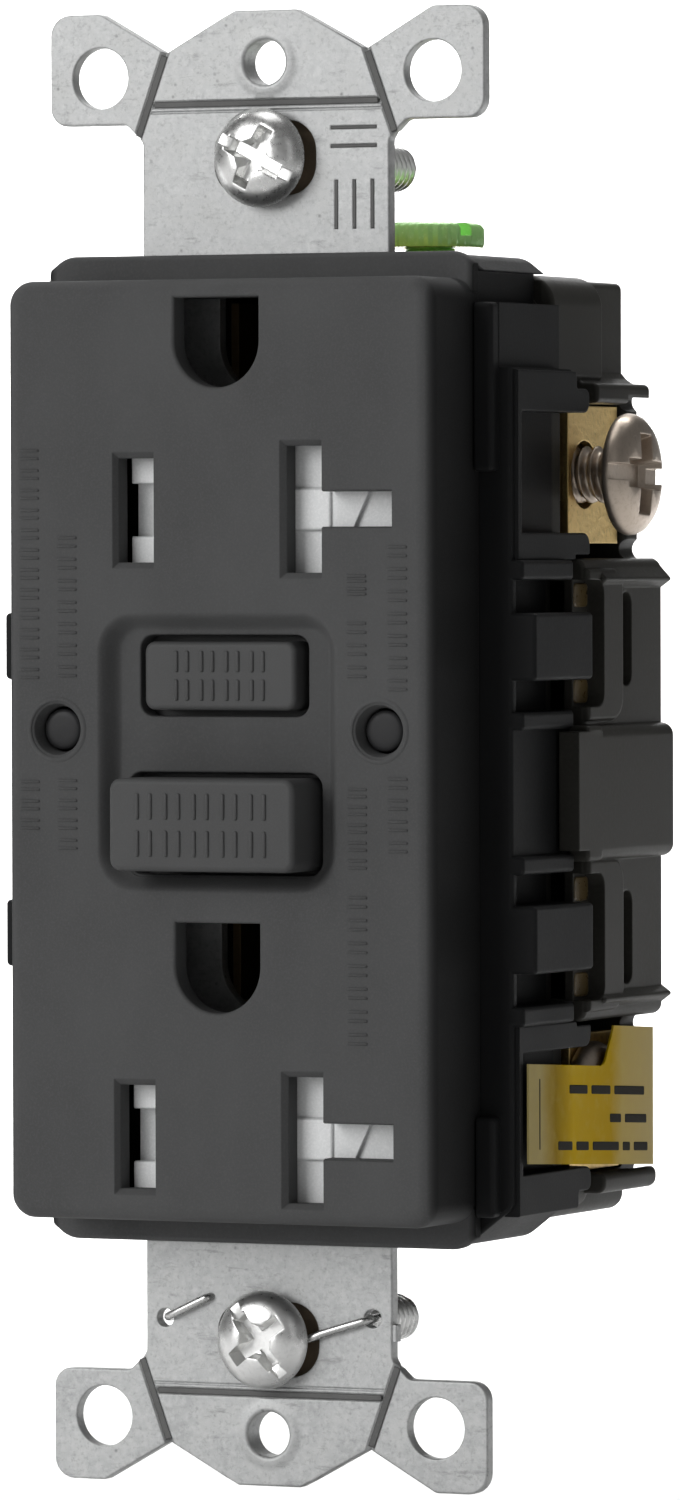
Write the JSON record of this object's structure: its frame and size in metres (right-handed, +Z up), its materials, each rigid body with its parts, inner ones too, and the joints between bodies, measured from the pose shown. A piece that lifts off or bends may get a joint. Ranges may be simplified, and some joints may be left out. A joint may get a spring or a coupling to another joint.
{
  "type": "duplex gfci receptacle",
  "caption": "Ground-fault duplex power receptacle with decorator face, shuttered slots, test and reset buttons, side screw terminals and a steel mounting strap.",
  "frame": {"origin": "centre of the mounting strap's rear (seating) plane, midway between the two box-screw holes", "axes": "+X to the right seen from the front, +Y into the wall, +Z up; ground holes are above the blade slots"},
  "size_m": [0.0446, 0.0362, 0.1042],
  "materials": {
    "charcoal_plastic": "fine matte texture",
    "black_plastic": "satin black",
    "smoke_plastic": "smoky brown-grey, semi-gloss",
    "galvanised_steel": "mottled satin zinc coating",
    "zinc_screw": "bright zinc plating",
    "nickel_screw": "nickel plating",
    "brass": "satin brass",
    "green_screw": "glossy green coating",
    "clear_lens": "smoked translucent light pipe",
    "shutter_plastic": "light grey, satin",
    "copper": "copper alloy and enamelled wire",
    "board_green": "solder mask",
    "ferrite": "dark coated core",
    "natural_nylon": "natural nylon",
    "plain_steel": "plain steel",
    "spring_steel": "spring wire",
    "fibre": "vulcanised fibre",
    "blue_epoxy": "dipped epoxy",
    "black_sleeve": "dark sleeve and moulding",
    "yellow_label": "translucent yellow film"
  },
  "bodies": {
    "frame": {"face_cover": "charcoal_plastic", "front_housing": "black_plastic", "separator": "black_plastic", "back_cover": "smoke_plastic", "mounting_strap": "galvanised_steel", "self_ground_wire_clip": "spring_steel", "screw_retainer_upper": "fibre", "screw_retainer_lower": "fibre", "ground_terminal": "brass", "ground_contact_upper": "brass", "ground_contact_lower": "brass", "line_neutral_terminal": "brass", "load_neutral_terminal": "brass", "line_hot_terminal": "brass", "load_hot_terminal": "brass", "hot_contact_strip": "brass", "neutral_contact_strip": "brass", "line_busbar_hot": "copper", "line_busbar_neutral": "copper", "test_contact": "brass", "reset_spring": "spring_steel", "indicator_lens_left": "clear_lens", "indicator_lens_right": "clear_lens", "shutter_spring_upper": "spring_steel", "shutter_spring_lower": "spring_steel", "circuit_board": "board_green", "sense_toroid_front": "ferrite", "sense_toroid_rear": "ferrite", "solenoid_bobbin": "natural_nylon", "solenoid_coil": "copper", "plunger_spring": "spring_steel", "surge_varistor": "blue_epoxy", "smoothing_capacitor": "black_sleeve", "control_chip": "black_sleeve", "assembly_screw_1": "zinc_screw", "assembly_screw_2": "zinc_screw", "assembly_screw_3": "zinc_screw", "assembly_screw_4": "zinc_screw", "load_terminal_label": "yellow_label"},
    "test_button": {"test_button": "charcoal_plastic"},
    "reset_button": {"reset_button": "charcoal_plastic", "reset_pin": "zinc_screw"},
    "shutter_upper": {"shutter_upper": "shutter_plastic"},
    "shutter_lower": {"shutter_lower": "shutter_plastic"},
    "solenoid_plunger": {"solenoid_plunger": "plain_steel"},
    "latch_block": {"latch_block": "natural_nylon"},
    "latch_plate": {"latch_plate": "plain_steel"},
    "line_arm_hot": {"line_arm_hot": "copper"},
    "line_arm_neutral": {"line_arm_neutral": "copper"},
    "line_hot_screw": {"line_hot_screw": "brass"},
    "line_hot_clamp_plate": {"line_hot_clamp_plate": "plain_steel"},
    "line_neutral_screw": {"line_neutral_screw": "nickel_screw"},
    "line_neutral_clamp_plate": {"line_neutral_clamp_plate": "plain_steel"},
    "load_hot_screw": {"load_hot_screw": "brass"},
    "load_hot_clamp_plate": {"load_hot_clamp_plate": "plain_steel"},
    "load_neutral_screw": {"load_neutral_screw": "nickel_screw"},
    "load_neutral_clamp_plate": {"load_neutral_clamp_plate": "plain_steel"},
    "mounting_screw_upper": {"mounting_screw_upper": "zinc_screw"},
    "mounting_screw_lower": {"mounting_screw_lower": "zinc_screw"},
    "ground_screw": {"ground_screw": "green_screw"}
  },
  "joints": [
    {"name": "test_press", "type": "slide", "parent": "frame", "child": "test_button", "axis": [0, 1, 0], "range_m": [0, 0.0015], "stiffness_N_per_m": 600, "springref_m": -0.003},
    {"name": "reset_press", "type": "slide", "parent": "frame", "child": "reset_button", "axis": [0, 1, 0], "range_m": [0, 0.002], "stiffness_N_per_m": 600, "springref_m": -0.003},
    {"name": "shutter_upper_slide", "type": "slide", "parent": "frame", "child": "shutter_upper", "axis": [1, 0, 0], "range_m": [0, 0.002], "stiffness_N_per_m": 150, "springref_m": -0.003},
    {"name": "shutter_lower_slide", "type": "slide", "parent": "frame", "child": "shutter_lower", "axis": [1, 0, 0], "range_m": [0, 0.002], "stiffness_N_per_m": 150, "springref_m": -0.003},
    {"name": "plunger_slide", "type": "slide", "parent": "frame", "child": "solenoid_plunger", "axis": [0, 0, 1], "range_m": [0, 0.0013], "stiffness_N_per_m": 200, "springref_m": -0.003, "deforming": ["plunger_spring"]},
    {"name": "latch_block_slide", "type": "slide", "parent": "frame", "child": "latch_block", "axis": [0, 1, 0], "range_m": [0, 0.0015], "stiffness_N_per_m": 300, "springref_m": -0.003},
    {"name": "latch_plate_slide", "type": "slide", "parent": "latch_block", "child": "latch_plate", "axis": [0, 0, 1], "range_m": [0, 0.0013]},
    {"name": "line_arm_hot_flex", "type": "hinge", "parent": "frame", "child": "line_arm_hot", "pos_m": [-0.0064, 0.0105, 0.0199], "axis": [1, 0, 0], "range_deg": [0, 3.5]},
    {"name": "line_arm_neutral_flex", "type": "hinge", "parent": "frame", "child": "line_arm_neutral", "pos_m": [0.0064, 0.0105, 0.0199], "axis": [1, 0, 0], "range_deg": [0, 3.5]},
    {"name": "line_hot_screw_turn", "type": "hinge", "parent": "frame", "child": "line_hot_screw", "pos_m": [-0.0204, 0.0153, 0.01936], "axis": [1, 0, 0], "range_deg": [0, 1044]},
    {"name": "line_hot_clamp_slide", "type": "slide", "parent": "frame", "child": "line_hot_clamp_plate", "axis": [-1, 0, 0], "range_m": [0, 0.0023]},
    {"name": "line_neutral_screw_turn", "type": "hinge", "parent": "frame", "child": "line_neutral_screw", "pos_m": [0.0204, 0.0153, 0.01936], "axis": [-1, 0, 0], "range_deg": [0, 1044]},
    {"name": "line_neutral_clamp_slide", "type": "slide", "parent": "frame", "child": "line_neutral_clamp_plate", "axis": [1, 0, 0], "range_m": [0, 0.0023]},
    {"name": "load_hot_screw_turn", "type": "hinge", "parent": "frame", "child": "load_hot_screw", "pos_m": [-0.01745, 0.0153, -0.02536], "axis": [1, 0, 0], "range_deg": [-1044, 0]},
    {"name": "load_hot_clamp_slide", "type": "slide", "parent": "frame", "child": "load_hot_clamp_plate", "axis": [-1, 0, 0], "range_m": [-0.0023, 0]},
    {"name": "load_neutral_screw_turn", "type": "hinge", "parent": "frame", "child": "load_neutral_screw", "pos_m": [0.01745, 0.0153, -0.02536], "axis": [-1, 0, 0], "range_deg": [-1044, 0]},
    {"name": "load_neutral_clamp_slide", "type": "slide", "parent": "frame", "child": "load_neutral_clamp_plate", "axis": [1, 0, 0], "range_m": [-0.0023, 0]},
    {"name": "mounting_screw_upper_turn", "type": "hinge", "parent": "frame", "child": "mounting_screw_upper", "pos_m": [0, 0, 0.04167], "axis": [0, 1, 0], "continuous": true},
    {"name": "mounting_screw_lower_turn", "type": "hinge", "parent": "frame", "child": "mounting_screw_lower", "pos_m": [0, 0, -0.04167], "axis": [0, 1, 0], "continuous": true},
    {"name": "ground_screw_turn", "type": "hinge", "parent": "frame", "child": "ground_screw", "pos_m": [0.0065, 0.0123, 0.0356], "axis": [0, 0, -1], "range_deg": [-1080, 316]}
  ],
  "couplings": [
    {"joint": "latch_plate_slide", "follows": "plunger_slide", "ratio": 1},
    {"joint": "line_arm_hot_flex", "follows": "latch_block_slide", "rad_per_m": 36},
    {"joint": "line_arm_neutral_flex", "follows": "latch_block_slide", "rad_per_m": 36},
    {"joint": "line_hot_screw_turn", "follows": "line_hot_clamp_slide", "rad_per_m": 7913.3},
    {"joint": "line_neutral_screw_turn", "follows": "line_neutral_clamp_slide", "rad_per_m": 7913.3},
    {"joint": "load_hot_screw_turn", "follows": "load_hot_clamp_slide", "rad_per_m": 7913.3},
    {"joint": "load_neutral_screw_turn", "follows": "load_neutral_clamp_slide", "rad_per_m": 7913.3}
  ]
}
